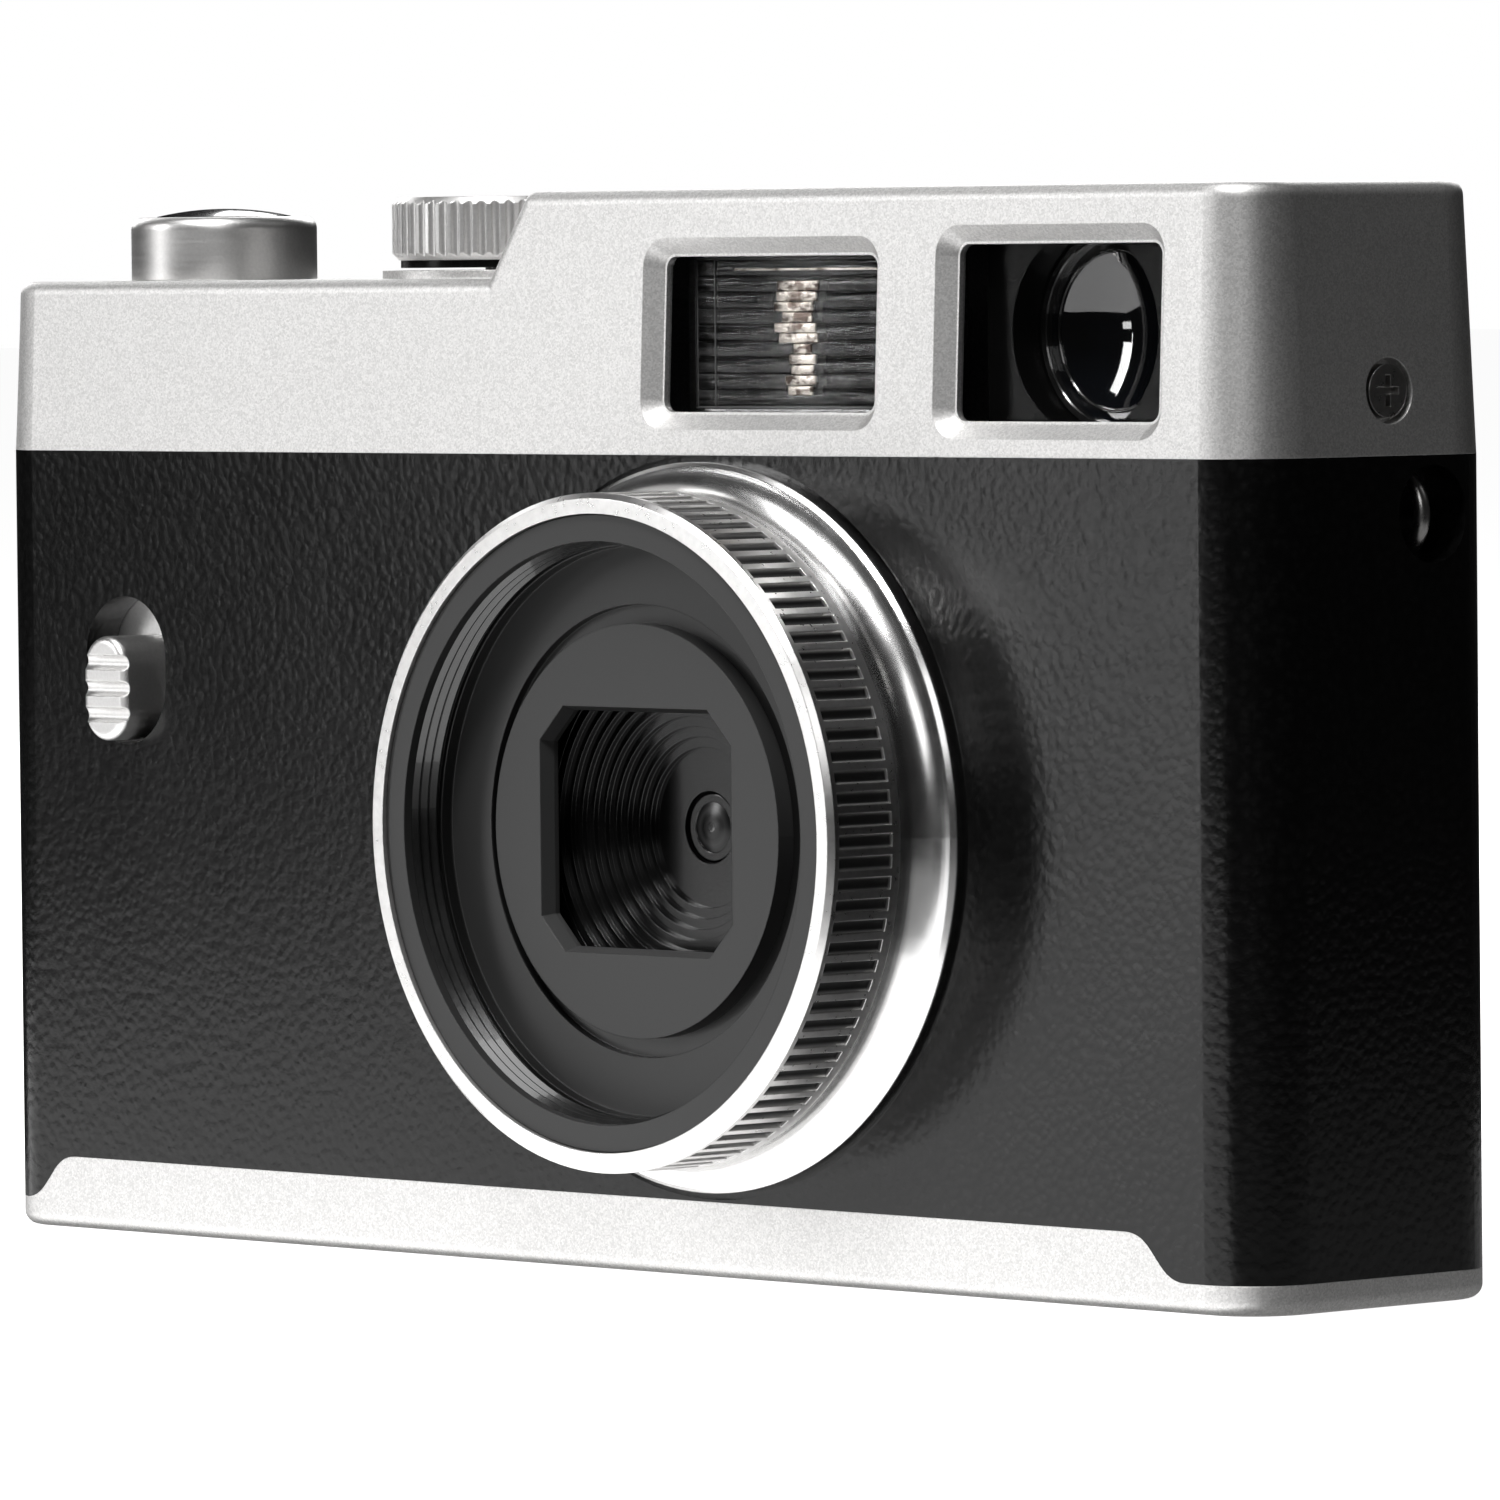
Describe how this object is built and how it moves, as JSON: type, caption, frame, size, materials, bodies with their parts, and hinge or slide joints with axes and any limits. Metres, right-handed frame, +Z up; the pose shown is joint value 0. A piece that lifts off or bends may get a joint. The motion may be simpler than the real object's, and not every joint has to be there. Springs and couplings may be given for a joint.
{
  "type": "compact viewfinder camera",
  "caption": "Flat pocket camera with a stepped silver top cover, black grained body, knurled lens ring, flash and viewfinder windows, selector dial, shutter button and front slide switch.",
  "frame": {"origin": "mouth of the tripod socket, in the middle of the underside", "axes": "+Z up, the lens looks along -Y, and +X is the side with the viewfinder"},
  "size_m": [0.118, 0.0326, 0.0685],
  "materials": {
    "black_shell": "fine leather grain",
    "silver_cover": "satin silver paint with a fine sparkle",
    "silver_trim": "satin",
    "black_plastic": "matt black",
    "black_gloss": "polished black",
    "steel": "plain",
    "brass": "plain",
    "clear": "clear",
    "filter_glass": "pale green coating",
    "reflector": "bright",
    "board": "lacquered",
    "chip": "dark",
    "foil": "wrapped foil"
  },
  "bodies": {
    "case": {"front_shell": "black_shell", "rear_cover": "black_shell", "top_cover": "silver_cover", "base_plate": "silver_cover", "lens_flange": "silver_trim", "shutter_collar": "silver_trim", "chassis": "black_plastic", "lens_barrel": "black_plastic", "lens_mask": "black_plastic", "viewfinder_tube": "black_plastic", "sensor_mount": "black_plastic", "eyepiece_frame": "black_plastic", "flash_capacitor": "black_gloss", "memory_card": "black_gloss", "case_screws": "steel", "cover_screws": "steel", "base_screws": "steel", "lens_screws": "steel", "strap_lug": "steel", "port_hinge_pin": "steel", "shutter_spring": "steel", "usb_socket": "steel", "card_socket": "steel", "slide_switch": "steel", "shutter_switch": "steel", "tripod_bush": "brass", "flash_window": "clear", "viewfinder_window": "clear", "viewfinder_objective": "clear", "viewfinder_eyepiece": "clear", "counter_window": "clear", "flash_tube": "clear", "infrared_filter": "filter_glass", "flash_reflector": "reflector", "main_board": "board", "top_board": "board", "flash_board": "board", "sensor_board": "board", "image_sensor": "chip", "counter_display": "chip", "rotary_switch": "chip", "battery": "foil"},
    "focus_ring": {"focus_ring": "silver_trim"},
    "lens_cell": {"lens_cell": "black_plastic", "lens_baffle": "black_plastic", "focus_pin": "steel", "front_lens": "clear", "lens_spacer": "black_plastic", "rear_lens": "clear"},
    "flash_switch": {"flash_switch_knob": "silver_trim", "switch_slider": "black_plastic"},
    "shutter_button": {"shutter_button": "black_gloss", "shutter_clip": "steel"},
    "mode_dial": {"mode_dial": "silver_trim", "dial_skirt": "black_plastic", "dial_shaft": "steel"},
    "port_door": {"port_door": "black_plastic"}
  },
  "joints": [
    {"name": "shutter_press", "type": "slide", "parent": "case", "child": "shutter_button", "axis": [0, 0, -1], "range_m": [0, 0.0009], "stiffness_N_per_m": 900, "springref_m": -0.0006, "deforming": ["shutter_spring"]},
    {"name": "dial_turn", "type": "hinge", "parent": "case", "child": "mode_dial", "pos_m": [-0.0194, 0, 0.064], "axis": [0, 0, 1], "range_deg": [0, 120]},
    {"name": "flash_switch_slide", "type": "slide", "parent": "case", "child": "flash_switch", "axis": [0, 0, 1], "range_m": [0, 0.0023]},
    {"name": "focus_turn", "type": "hinge", "parent": "case", "child": "focus_ring", "pos_m": [0.011, -0.0112, 0.0284], "axis": [0, -1, 0], "range_deg": [0, 90]},
    {"name": "focus_shift", "type": "slide", "parent": "case", "child": "lens_cell", "axis": [0, -1, 0], "range_m": [0, 0.001]},
    {"name": "port_door_turn", "type": "hinge", "parent": "case", "child": "port_door", "pos_m": [-0.0582, 0.0046, 0.02475], "axis": [0, 0, -1], "range_deg": [0, 90]}
  ],
  "couplings": [
    {"joint": "focus_turn", "follows": "focus_shift", "rad_per_m": 1570.8}
  ]
}
